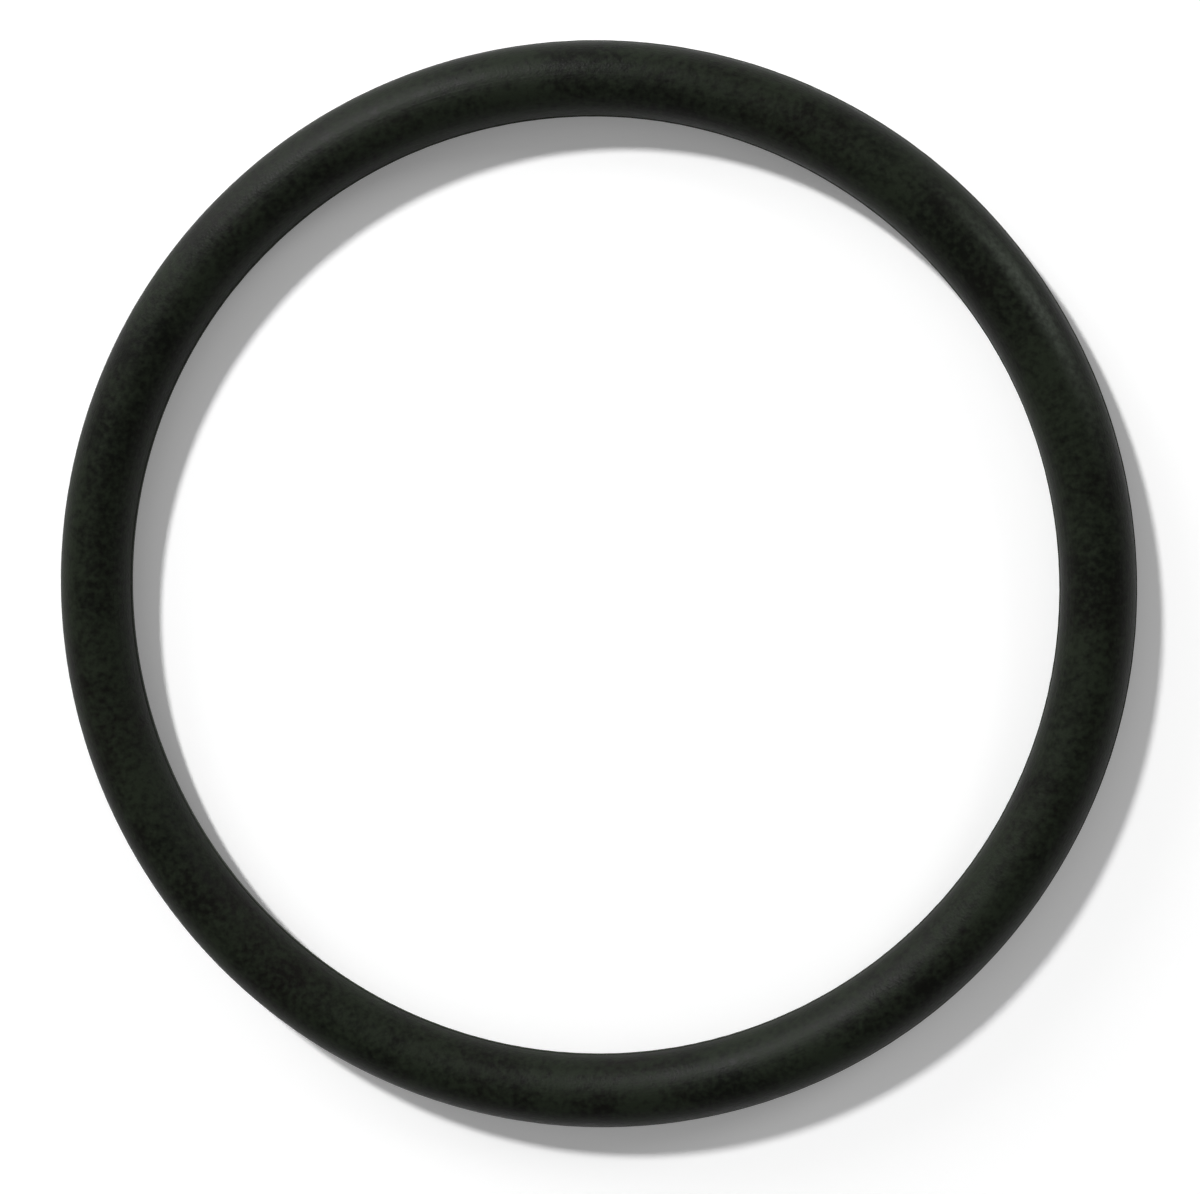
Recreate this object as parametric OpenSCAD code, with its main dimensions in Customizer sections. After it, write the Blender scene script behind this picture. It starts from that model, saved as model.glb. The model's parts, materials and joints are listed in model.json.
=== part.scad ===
// Rubber o-ring: one moulded piece, lying flat, with its axis along Z and its centre at the origin.
// The section is a true circle. A two-part mould closes on the ring's middle plane, and the flash that
// it squeezes out there is trimmed to a fine raised line round the inside and the outside of the ring.

/* [Ring] */
// Inside diameter of the round section, not counting the flash
inside_d = 45; // [20:0.5:120]
// Diameter of the round section
section_d = 3.5; // [1.5:0.1:7]

/* [Parting line] */
// How far the trimmed flash stands out of the round section
flash_proud = 0.06; // [0.02:0.01:0.12]
// Width of the flat land that the trimming leaves along the top of the flash
flash_land = 0.1; // [0.04:0.01:0.16]
// Angle in degrees by which each side of the flash leans away from its middle, down to its root
flash_lean = 40; // [15:1:45]

/* [Hidden] */
$fn = 128;
section_r = section_d / 2;
// Radius of the circle that the middle of the section runs along
centre_r = inside_d / 2 + section_r;
// Distance from the middle of the section to the land of the flash
land_reach = section_r + flash_proud;
// The flash is carried down inside the section by this much, so that its sides end in the rubber
root_depth = section_r / 4;
root_reach = section_r - root_depth;
land_half = flash_land / 2;
root_half = land_half + (flash_proud + root_depth) * tan(flash_lean);

// Flash on one side of the section, pointing along +X from the section's middle
module flash_side() {
    polygon([
        [root_reach, -root_half],
        [land_reach, -land_half],
        [land_reach, land_half],
        [root_reach, root_half],
    ]);
}

// The section as it leaves the mould: a circle with flash on its outer and inner side
module ring_section() {
    circle(d = section_d);
    flash_side();
    rotate(180) flash_side();
}

module o_ring() {
    color("#1b1e19")
        rotate_extrude()
            translate([centre_r, 0]) ring_section();
}

o_ring();
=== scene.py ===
# A black rubber o-ring lies flat on a pale floor, lit softly from the upper left and seen from nearly above.
# Values with MM in their name are millimetres, those with DEG are degrees, and Blender's lengths are metres.
import json
import math

import bpy
import numpy as np
from mathutils import Matrix, Vector


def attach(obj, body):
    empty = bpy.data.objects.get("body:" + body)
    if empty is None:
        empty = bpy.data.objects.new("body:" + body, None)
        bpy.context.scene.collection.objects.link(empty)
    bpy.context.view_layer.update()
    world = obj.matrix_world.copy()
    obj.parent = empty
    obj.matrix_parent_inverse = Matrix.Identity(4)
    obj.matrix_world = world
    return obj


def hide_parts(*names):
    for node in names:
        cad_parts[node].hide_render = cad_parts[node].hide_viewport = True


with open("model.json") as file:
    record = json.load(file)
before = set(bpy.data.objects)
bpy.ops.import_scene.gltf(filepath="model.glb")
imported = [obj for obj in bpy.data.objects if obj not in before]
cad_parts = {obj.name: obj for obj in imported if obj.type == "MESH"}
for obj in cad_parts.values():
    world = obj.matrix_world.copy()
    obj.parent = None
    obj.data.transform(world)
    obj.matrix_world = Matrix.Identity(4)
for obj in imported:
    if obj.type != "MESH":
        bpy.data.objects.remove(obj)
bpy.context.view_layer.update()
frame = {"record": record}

MM = 0.001

# Sizes of the ring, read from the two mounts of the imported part: the lands of its flash, inside and outside
mounts = {mount["name"]: mount["dims"] for mount in frame["record"]["mounts"]}
INNER_LAND_R_MM = mounts["shaft_seat"]["r_mm"]
OUTER_LAND_R_MM = mounts["housing_seat"]["r_mm"]
LAND_WIDTH_MM = mounts["housing_seat"]["length_mm"]
# The flash stands this far out of the round section, and its sides lean this much off the middle plane
FLASH_PROUD_MM = 0.06
FLASH_LEAN_DEG = 40
CENTRE_R_MM = (OUTER_LAND_R_MM + INNER_LAND_R_MM) / 2
SECTION_R_MM = (OUTER_LAND_R_MM - INNER_LAND_R_MM) / 2 - FLASH_PROUD_MM
FLOOR_Z = -SECTION_R_MM * MM

# The camera stands nearly over the ring, a little to its right. The picture's width fits the sensor's.
CAMERA_DISTANCE_MM = 6 * CENTRE_R_MM
CAMERA_TILT_DEG = 9.35
CAMERA_AZIMUTH_DEG = 18
CAMERA_AIM_MM = (0.72, -0.39, 0)
CAMERA_LENS_MM = 91.15
SENSOR_MM = 36
NEAREST_SEEN_MM = 1

# Level is the share of a flat white floor's brightness that each light gives, and the levels add up to 1
LAMPS = {
    # A small soft lamp at the upper left, as far from the ring as its widening shadow shows
    "key_lamp": {"level": 0.6, "azimuth_deg": 126, "elevation_deg": 48.6, "away_mm": 495, "width_mm": 50},
    # A very wide window light, low behind the key lamp, carries the highlight down the ring's side
    "window_light": {"level": 0.1, "azimuth_deg": 137, "elevation_deg": 19, "away_mm": 700, "width_mm": 400},
    # A weak wide lamp keeps the ring's right side from going black
    "side_lamp": {"level": 0.06, "azimuth_deg": 38, "elevation_deg": 32, "away_mm": 600, "width_mm": 200},
}
# The fill comes evenly from all sides and gives the rest
FILL_LEVEL = 1 - sum(lamp["level"] for lamp in LAMPS.values())

# Some sockets of a node share one name, so they go by their place. A Mix node goes from A to B by its share.
MIX_SHARE = 0
NUMBER_A, NUMBER_B, NUMBER_RESULT = 2, 3, 0
COLOUR_A, COLOUR_B, COLOUR_RESULT = 6, 7, 2


def linear_colour(hex_colour):
    """Linear red, green, blue and alpha of an sRGB colour written as #rrggbb."""
    parts = [int(hex_colour[i:i + 2], 16) / 255 for i in (1, 3, 5)]
    return [p / 12.92 if p <= 0.04045 else ((p + 0.055) / 1.055) ** 2.4 for p in parts] + [1.0]


def add_node(tree, kind, links=None, values=None, **settings):
    """Adds one node. Links feed its inputs, values are its inputs' own, and settings are its properties."""
    node = tree.nodes.new(kind)
    for name, value in settings.items():
        setattr(node, name, value)
    for socket, value in (values or {}).items():
        node.inputs[socket].default_value = value
    for socket, source in (links or {}).items():
        tree.links.new(source, node.inputs[socket])
    return node


def new_material(name):
    """A new node material with no nodes in it yet, and its node tree."""
    material = bpy.data.materials.new(name)
    material.use_nodes = True
    material.node_tree.nodes.clear()
    return material, material.node_tree


# Ring mesh

# Stations stand round the ring, and each holds one section of the skin
STATIONS = 960
# Rows between the flash and the crown, crowded towards the flash by this power
ARC_STEPS = 19
ARC_CROWDING = 1.25
# The blade leaves this small bevel on each edge of the land
LAND_EDGE_MM = 0.008
# Where the blade cut deepest, these shares of the flash's height and of its land's width are left
FLASH_LOW_SHARE = 0.55
LAND_NARROW_SHARE = 0.7
# Share of the unevenness that is slow, from the hand's path. The rest is fine, from the blade.
SLOW_SHARE = 0.6
# Unevenness is a sum of sines round the ring. These are the fewest waves that a sine may have, the number
# that it stays under, and how many sines there are.
SLOW_WAVES = (3, 14, 9)
FINE_WAVES = (60, 200, 40)
WIDTH_WAVES = (40, 160, 30)
# The trimming is uneven in the same way on every run
TRIMMING = np.random.default_rng(seed=45)


def ragged(fewest, under, sines):
    """Smooth noise round the ring, from 0 to 1. Each sine has a whole number of waves, so that it closes."""
    turn = np.arange(STATIONS) * 2 * math.pi / STATIONS
    waves = TRIMMING.integers(fewest, under, sines)
    phases = TRIMMING.uniform(0, 2 * math.pi, sines)
    total = np.sin(turn[:, None] * waves + phases).sum(1)
    return (total - total.min()) / (total.max() - total.min())


def trimmed_flash():
    """How far the flash stands proud at each station, and half its land's width.

    Trimming leaves both slightly uneven.
    """
    slow, fine = ragged(*SLOW_WAVES), ragged(*FINE_WAVES)
    height_left = FLASH_LOW_SHARE + (1 - FLASH_LOW_SHARE) * (SLOW_SHARE * slow + (1 - SLOW_SHARE) * fine)
    width_left = LAND_NARROW_SHARE + (1 - LAND_NARROW_SHARE) * ragged(*WIDTH_WAVES)
    return FLASH_PROUD_MM * height_left, LAND_WIDTH_MM / 2 * width_left


def quarter_outline(proud, land_half):
    """The section from its middle plane up to its crown, at every station.

    Each row of it is how far out it lies from the section's middle, and how high.
    """
    lean = math.radians(FLASH_LEAN_DEG)
    land = SECTION_R_MM + proud
    # The leaning side of the flash meets the round section at this angle above the middle plane
    off_middle = land_half * math.cos(lean) + land * math.sin(lean)
    root = np.arcsin(off_middle / SECTION_R_MM) - lean
    root_x, root_z = SECTION_R_MM * np.cos(root), SECTION_R_MM * np.sin(root)
    edge_x, edge_z = land - LAND_EDGE_MM * math.cos(lean), land_half + LAND_EDGE_MM * math.sin(lean)
    flat = np.zeros(STATIONS)
    rows = [(land, flat), (land, land_half - LAND_EDGE_MM), (edge_x, edge_z)]
    rows += [((edge_x + root_x) / 2, (edge_z + root_z) / 2), (root_x, root_z)]
    for share in np.linspace(0, 1, ARC_STEPS + 1)[1:]:
        angle = root + (math.pi / 2 - root) * share ** ARC_CROWDING
        rows.append((SECTION_R_MM * np.cos(angle), SECTION_R_MM * np.sin(angle)))
    return rows


def ring_rows():
    """All rows of the mesh round the section, as reach from its middle and height, from the outer land on."""
    outer, inner = quarter_outline(*trimmed_flash()), quarter_outline(*trimmed_flash())
    top = outer + [(-x, z) for x, z in inner[-2::-1]]
    under = [(x, -z) for x, z in top[-2:0:-1]]
    return top + under


def ring_mesh():
    """The ring as one closed skin of quads, with a map of straight strips, marks for the finish, and a mark
    where a highlight is painted.
    """
    rows = ring_rows()
    reach = np.stack([x for x, z in rows], 1)
    height = np.stack([z for x, z in rows], 1)
    turn = np.arange(STATIONS)[:, None] * 2 * math.pi / STATIONS
    radius = CENTRE_R_MM + reach
    places = np.stack([radius * np.cos(turn), radius * np.sin(turn), height], -1) * MM
    here = np.arange(STATIONS * len(rows)).reshape(STATIONS, len(rows))
    onward, up = np.roll(here, -1, 0), np.roll(here, -1, 1)
    faces = np.stack([here, onward, np.roll(onward, -1, 1), up], -1).reshape(-1, 4)
    mesh = bpy.data.meshes.new("o_ring_skin")
    mesh.from_pydata(places.reshape(-1, 3).tolist(), [], faces.tolist())
    mesh.polygons.foreach_set("use_smooth", np.ones(len(faces), bool))
    add_strip_map(mesh, reach[0], height[0])
    add_mark(mesh, "trimmed", trimmed_share(reach, height))
    # Pale colour painted on the outer shoulder at the right stands in for a highlight there
    add_mark(mesh, "painted_highlight", painted_highlight_share(turn, reach, height))
    mesh.validate()
    return mesh


# The map holds this many strips, with a margin round each that is this share of the map's side
MAP_STRIPS = 4
MAP_MARGIN = 0.004


def add_strip_map(mesh, reach, height):
    """Cuts the skin along its outer land and across it, into strips that lie side by side in the map."""
    steps = np.hypot(np.diff(reach, append=reach[0]), np.diff(height, append=height[0]))
    around = np.concatenate([[0], np.cumsum(steps)]) / steps.sum()
    per_strip = STATIONS // MAP_STRIPS
    station, row = np.divmod(np.arange(len(mesh.polygons)), len(reach))
    strip, place = np.divmod(station, per_strip)
    along = np.stack([place, place + 1, place + 1, place], 1) / per_strip
    across = np.stack([around[row], around[row], around[row + 1], around[row + 1]], 1)
    inset = 1 - 2 * MAP_MARGIN * MAP_STRIPS
    u = MAP_MARGIN + along * (1 - 2 * MAP_MARGIN)
    v = (strip[:, None] + MAP_MARGIN * MAP_STRIPS + across * inset) / MAP_STRIPS
    layer = mesh.uv_layers.new(name="OFBake")
    layer.uv.foreach_set("vector", np.stack([u, v], -1).astype(np.float32).ravel())


def trimmed_share(reach, height):
    """0 on the round section and 1 on the trimmed land of the flash."""
    off_middle = np.hypot(reach, height)
    return ((off_middle - SECTION_R_MM) / (FLASH_PROUD_MM * FLASH_LOW_SHARE)).clip(0, 1)


# A highlight is painted on the outer shoulder at the right, as a pale streak in the rubber's colour. Its lean
# is from straight up, outwards.
HIGHLIGHT_STREAK_AZIMUTH_DEG = 33
HIGHLIGHT_STREAK_LENGTH_DEG = 11
HIGHLIGHT_STREAK_LEAN_DEG = 32
HIGHLIGHT_STREAK_WIDTH_DEG = 12


def painted_highlight_share(turn, reach, height):
    """1 in the middle of the painted highlight on the outer shoulder, fading to 0 round it."""
    lean_deg = np.degrees(np.arctan2(reach, height))
    along = (np.degrees(turn) - HIGHLIGHT_STREAK_AZIMUTH_DEG) / HIGHLIGHT_STREAK_LENGTH_DEG
    across = (lean_deg - HIGHLIGHT_STREAK_LEAN_DEG) / HIGHLIGHT_STREAK_WIDTH_DEG
    return np.exp(-along ** 2 - across ** 2)


def add_mark(mesh, name, share):
    """Keeps a share from 0 to 1 for each point of the skin, for the rubber's finish there."""
    mark = mesh.attributes.new(name, "FLOAT", "POINT")
    mark.data.foreach_set("value", share.astype(np.float32).ravel())


# Rubber

# Nitrile rubber's own IOR. The matt skin scatters most of its gloss away, so the specular level is low.
RUBBER_IOR = 1.52
RUBBER_SPECULAR = 0.107
# Roughness of the moulded skin from its shiniest to its dullest, and of the trimmed land
RUBBER_SHINIEST, RUBBER_DULLEST = 0.43, 0.51
TRIMMED_DULLNESS = 0.6
# The tool marks spread the gloss wider across them than along them. Across is a quarter of a turn from along.
MARKS_SPREAD = 0.4
ACROSS_MARKS_TURN = 0.25
GREEN_BLACK, BROWN_BLACK, BLOOM_GREY, TRIMMED_GREY = "#0a0d08", "#0d0c09", "#1b2117", "#363a33"
# Colour of the painted highlight, and how much of it is left where it is thinnest
PAINTED_HIGHLIGHT_GREY, PAINTED_HIGHLIGHT_THIN = "#40453e", 0.5
# Size in millimetres of each pattern of the skin, and how many finer layers it holds. The real grain is about
# 0.03 mm, under a pixel of the picture, so it is drawn coarser than it is.
PATTERNS = {"tint": (6, 2), "bloom": (3.5, 3), "specks": (0.3, 2), "waves": (1.6, 2), "grain": (0.13, 3)}
# The same for the tool marks, which are 0.05 mm apart and drawn coarser too
TOOL_MARK_MM, TOOL_MARK_LAYERS = 0.16, 2
# Depth of each relief that the mould prints into the skin, the broadest first
RELIEF_DEPTHS_MM = {"waves": 0.025, "tool_marks": 0.006, "grain": 0.012}
# A noise's own values crowd between these two, so they stand for its lowest and its highest
NOISE_LOW, NOISE_HIGH = 0.36, 0.64
# The same for the sum of two noises
SUM_LOW, SUM_HIGH = 0.8, 1.2


def tool_marks(tree, place):
    """Fine ridges from the lathe that turned the mould, so they run round the ring.

    They change only with the lean of the skin about the section's middle, and break off on the inner land.
    """
    flat = add_node(
        tree, "ShaderNodeVectorMath", {0: place}, {1: (1, 1, 0)}, operation="MULTIPLY",
    ).outputs["Vector"]
    radius = add_node(tree, "ShaderNodeVectorMath", {0: flat}, operation="LENGTH").outputs["Value"]
    reach = add_node(
        tree, "ShaderNodeMath", {0: radius}, {1: CENTRE_R_MM * MM}, operation="SUBTRACT",
    ).outputs["Value"]
    height = add_node(tree, "ShaderNodeSeparateXYZ", {"Vector": place}).outputs["Z"]
    lean = add_node(tree, "ShaderNodeMath", {0: height, 1: reach}, operation="ARCTAN2").outputs["Value"]
    return add_node(
        tree, "ShaderNodeTexNoise", {"W": lean},
        {"Scale": SECTION_R_MM / TOOL_MARK_MM, "Detail": TOOL_MARK_LAYERS}, noise_dimensions="1D",
    ).outputs["Fac"]


def skin_patterns(tree):
    """The patterns of the skin by name. They run through the solid rubber, so the map's cuts don't show."""
    place = add_node(tree, "ShaderNodeTexCoord").outputs["Object"]
    patterns = {
        name: add_node(
            tree, "ShaderNodeTexNoise", {"Vector": place}, {"Scale": 1 / (size_mm * MM), "Detail": layers},
        ).outputs["Fac"]
        for name, (size_mm, layers) in PATTERNS.items()
    }
    patterns["tool_marks"] = tool_marks(tree, place)
    return patterns


def rubber_colour(tree, patterns, tone, trimmed):
    """The rubber's black leans to green or to brown, is greyer where there is bloom and in specks, and has a
    painted highlight.
    """
    leaning = add_node(
        tree, "ShaderNodeMapRange", {"Value": patterns["tint"]},
        {"From Min": NOISE_LOW, "From Max": NOISE_HIGH},
    ).outputs["Result"]
    black = add_node(
        tree, "ShaderNodeMix", {MIX_SHARE: leaning},
        {COLOUR_A: linear_colour(GREEN_BLACK), COLOUR_B: linear_colour(BROWN_BLACK)}, data_type="RGBA",
    ).outputs[COLOUR_RESULT]
    pallor = add_node(
        tree, "ShaderNodeMapRange", {"Value": tone}, {"From Min": SUM_LOW, "From Max": SUM_HIGH},
    ).outputs["Result"]
    skin = add_node(
        tree, "ShaderNodeMix", {MIX_SHARE: pallor, COLOUR_A: black}, {COLOUR_B: linear_colour(BLOOM_GREY)},
        data_type="RGBA",
    ).outputs[COLOUR_RESULT]
    # A highlight is painted here as a pale streak of colour, broken up by the specks
    painted_highlight = add_node(tree, "ShaderNodeAttribute", attribute_name="painted_highlight").outputs["Fac"]
    breaks = add_node(
        tree, "ShaderNodeMapRange", {"Value": patterns["specks"]},
        {"From Min": NOISE_LOW, "From Max": NOISE_HIGH, "To Min": PAINTED_HIGHLIGHT_THIN},
    ).outputs["Result"]
    highlight_share = add_node(tree, "ShaderNodeMath", {0: painted_highlight, 1: breaks}, operation="MULTIPLY").outputs["Value"]
    with_painted_highlight = add_node(
        tree, "ShaderNodeMix", {MIX_SHARE: highlight_share, COLOUR_A: skin}, {COLOUR_B: linear_colour(PAINTED_HIGHLIGHT_GREY)},
        data_type="RGBA",
    ).outputs[COLOUR_RESULT]
    return add_node(
        tree, "ShaderNodeMix", {MIX_SHARE: trimmed, COLOUR_A: with_painted_highlight}, {COLOUR_B: linear_colour(TRIMMED_GREY)},
        data_type="RGBA",
    ).outputs[COLOUR_RESULT]


def rubber_dullness(tree, tone, trimmed):
    """Bloom dulls the skin in patches and specks, and the blade leaves the flash's land duller still."""
    moulded = add_node(
        tree, "ShaderNodeMapRange", {"Value": tone},
        {"From Min": SUM_LOW, "From Max": SUM_HIGH, "To Min": RUBBER_SHINIEST, "To Max": RUBBER_DULLEST},
    ).outputs["Result"]
    return add_node(
        tree, "ShaderNodeMix", {MIX_SHARE: trimmed, NUMBER_A: moulded}, {NUMBER_B: TRIMMED_DULLNESS},
        data_type="FLOAT",
    ).outputs[NUMBER_RESULT]


def moulded_nitrile_rubber():
    """Black nitrile rubber, pressed in a steel mould with a fine matt cavity.

    The carbon black in it takes nearly all the light, so the eye sees a wide soft highlight, a black that
    leans to green here and to brown there, slightly greyer and duller patches of bloom, a highlight painted
    as a pale streak on one shoulder, and a fine grain and tool marks that break the highlight up and spread
    it wider across the ring's section than along it. The cut rubber of the flash is grey and dull.
    """
    material, tree = new_material("moulded_nitrile_rubber")
    patterns = skin_patterns(tree)
    tone = add_node(
        tree, "ShaderNodeMath", {0: patterns["bloom"], 1: patterns["specks"]}, operation="ADD",
    ).outputs["Value"]
    trimmed = add_node(tree, "ShaderNodeAttribute", attribute_name="trimmed").outputs["Fac"]
    along_marks = add_node(tree, "ShaderNodeTangent", direction_type="RADIAL", axis="Z").outputs["Tangent"]
    surface = {
        "Base Color": rubber_colour(tree, patterns, tone, trimmed),
        "Roughness": rubber_dullness(tree, tone, trimmed),
        "Tangent": along_marks,
    }
    # Each relief is printed on top of the one before
    printed = {}
    for name, depth_mm in RELIEF_DEPTHS_MM.items():
        bump = add_node(
            tree, "ShaderNodeBump", {"Height": patterns[name], **printed},
            {"Strength": 1.0, "Distance": depth_mm * MM},
        )
        printed = {"Normal": bump.outputs["Normal"]}
    rubber = add_node(
        tree, "ShaderNodeBsdfPrincipled", {**surface, **printed},
        {
            "IOR": RUBBER_IOR, "Specular IOR Level": RUBBER_SPECULAR, "Metallic": 0.0,
            "Anisotropic": MARKS_SPREAD, "Anisotropic Rotation": ACROSS_MARKS_TURN,
        },
    )
    add_node(tree, "ShaderNodeOutputMaterial", {"Surface": rubber.outputs["BSDF"]})
    return material


def make_ring():
    """The o-ring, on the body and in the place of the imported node."""
    ring = bpy.data.objects.new("moulded_o_ring", ring_mesh())
    bpy.context.scene.collection.objects.link(ring)
    ring.data.materials.append(moulded_nitrile_rubber())
    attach(ring, "root")
    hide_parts("o_ring")


# Studio

FLOOR_SIDE_MM = 6000
# The card throws light back on the ring as this pale grey, and is itself seen as white
CARD_GREY = "#e4e4e4"
SEEN_WHITE = "#ffffff"
# The card shows its light and shadow up to the first distance from the ring's middle, and turns plain white
# by the second
CARD_TO_MM = 30
WHITE_FROM_MM = 60
# Brightness of a thin even veil over what is seen of the card, which lifts its shadows
HAZE = 0.12
# What is seen of the room is white up to the first height of the view, and a dim ceiling above the second.
# The height runs from 0 at the horizon to 1 straight up.
WALLS_TO = 0.15
CEILING_FROM = 0.2
CEILING_LEVEL = 0.12


def seen_directly(tree):
    """1 for what is seen straight, in a reflection or through glass, and 0 for light on the object."""
    path = add_node(tree, "ShaderNodeLightPath").outputs
    mirrored = add_node(
        tree, "ShaderNodeMath", {0: path["Is Camera Ray"], 1: path["Is Glossy Ray"]}, operation="MAXIMUM",
    ).outputs["Value"]
    return add_node(
        tree, "ShaderNodeMath", {0: mirrored, 1: path["Is Transmission Ray"]}, operation="MAXIMUM",
    ).outputs["Value"]


def matt_white_card():
    """White card, uncoated: it has no shine, and it shows the ring's shadow as a soft neutral grey.

    Away from the ring it is seen as plain white, like the room, so that no edge or horizon shows behind it.
    """
    material, tree = new_material("matt_white_card")
    seen = seen_directly(tree)
    white = linear_colour(SEEN_WHITE)
    colour = add_node(
        tree, "ShaderNodeMix", {MIX_SHARE: seen}, {COLOUR_A: linear_colour(CARD_GREY), COLOUR_B: white},
        data_type="RGBA",
    ).outputs[COLOUR_RESULT]
    card = add_node(tree, "ShaderNodeBsdfDiffuse", {"Color": colour}).outputs["BSDF"]
    place = add_node(tree, "ShaderNodeTexCoord").outputs["Object"]
    away = add_node(tree, "ShaderNodeVectorMath", {0: place}, operation="LENGTH").outputs["Value"]
    far = add_node(
        tree, "ShaderNodeMapRange", {"Value": away},
        {"From Min": CARD_TO_MM * MM, "From Max": WHITE_FROM_MM * MM},
    ).outputs["Result"]
    plain_share = add_node(tree, "ShaderNodeMath", {0: far, 1: seen}, operation="MULTIPLY").outputs["Value"]
    plain = add_node(tree, "ShaderNodeEmission", values={"Color": white}).outputs["Emission"]
    floor = add_node(tree, "ShaderNodeMixShader", {0: plain_share, 1: card, 2: plain}).outputs["Shader"]
    haze = add_node(tree, "ShaderNodeMath", {0: seen}, {1: HAZE}, operation="MULTIPLY").outputs["Value"]
    veil = add_node(tree, "ShaderNodeEmission", {"Strength": haze}, {"Color": white}).outputs["Emission"]
    surface = add_node(tree, "ShaderNodeAddShader", {0: floor, 1: veil}).outputs["Shader"]
    add_node(tree, "ShaderNodeOutputMaterial", {"Surface": surface})
    return material


def make_floor():
    """A wide flat floor under the ring."""
    half = FLOOR_SIDE_MM * MM / 2
    corners = [(x * half, y * half, FLOOR_Z) for x, y in ((-1, -1), (1, -1), (1, 1), (-1, 1))]
    mesh = bpy.data.meshes.new("floor")
    mesh.from_pydata(corners, [], [(0, 1, 2, 3)])
    floor = bpy.data.objects.new("floor", mesh)
    bpy.context.scene.collection.objects.link(floor)
    mesh.materials.append(matt_white_card())


def direction(azimuth_deg, elevation_deg):
    """Unit vector at an azimuth from +X towards +Y, and an elevation above the floor."""
    azimuth, elevation = math.radians(azimuth_deg), math.radians(elevation_deg)
    flat = math.cos(elevation)
    return Vector((flat * math.cos(azimuth), flat * math.sin(azimuth), math.sin(elevation)))


def add_lamp(name, level, azimuth_deg, elevation_deg, away_mm, width_mm):
    """A round soft lamp that gives this level at the middle of a white floor, and fades with distance."""
    lamp = bpy.data.lights.new(name, "POINT")
    away = away_mm * MM
    # White card that faces a lamp of W watts is W / (2 pi away)^2 bright
    lamp.energy = level * 4 * math.pi ** 2 * away ** 2 / math.sin(math.radians(elevation_deg))
    lamp.shadow_soft_size = width_mm * MM / 2
    holder = bpy.data.objects.new(name, lamp)
    bpy.context.scene.collection.objects.link(holder)
    holder.location = direction(azimuth_deg, elevation_deg) * away


def make_room():
    """Even fill light. The room's walls are seen white, and its dim ceiling leaves the ring's top dark."""
    world = bpy.data.worlds.new("room")
    bpy.context.scene.world = world
    world.use_nodes = True
    tree = world.node_tree
    tree.nodes.clear()
    way = add_node(tree, "ShaderNodeTexCoord").outputs["Generated"]
    height = add_node(tree, "ShaderNodeSeparateXYZ", {"Vector": way}).outputs["Z"]
    wall = add_node(
        tree, "ShaderNodeMapRange", {"Value": height},
        {"From Min": CEILING_FROM, "From Max": WALLS_TO, "To Min": CEILING_LEVEL, "To Max": 1.0},
    ).outputs["Result"]
    strength = add_node(
        tree, "ShaderNodeMix", {MIX_SHARE: seen_directly(tree), NUMBER_B: wall}, {NUMBER_A: FILL_LEVEL},
        data_type="FLOAT",
    ).outputs[NUMBER_RESULT]
    light = add_node(
        tree, "ShaderNodeBackground", {"Strength": strength}, {"Color": linear_colour(SEEN_WHITE)},
    ).outputs["Background"]
    add_node(tree, "ShaderNodeOutputWorld", {"Surface": light})


def make_camera():
    """The camera at the photograph's angle, with the picture's upright along +Y."""
    camera = bpy.data.objects.new("camera", bpy.data.cameras.new("camera"))
    bpy.context.scene.collection.objects.link(camera)
    bpy.context.scene.camera = camera
    camera.data.lens = CAMERA_LENS_MM
    camera.data.sensor_width = SENSOR_MM
    camera.data.clip_start = NEAREST_SEEN_MM * MM
    camera.data.clip_end = FLOOR_SIDE_MM * MM
    stand = direction(CAMERA_AZIMUTH_DEG, 90 - CAMERA_TILT_DEG) * CAMERA_DISTANCE_MM * MM
    aim = Vector(CAMERA_AIM_MM) * MM
    ahead = (aim - stand).normalized()
    right = ahead.cross(Vector((0, 1, 0))).normalized()
    turn = Matrix((right, right.cross(ahead), -ahead)).transposed()
    camera.location = stand
    camera.rotation_mode = "QUATERNION"
    camera.rotation_quaternion = turn.to_quaternion()


make_camera()
make_ring()
make_floor()
for name, lamp in LAMPS.items():
    add_lamp(name, **lamp)
make_room()
bpy.context.scene.view_settings.view_transform = "Standard"
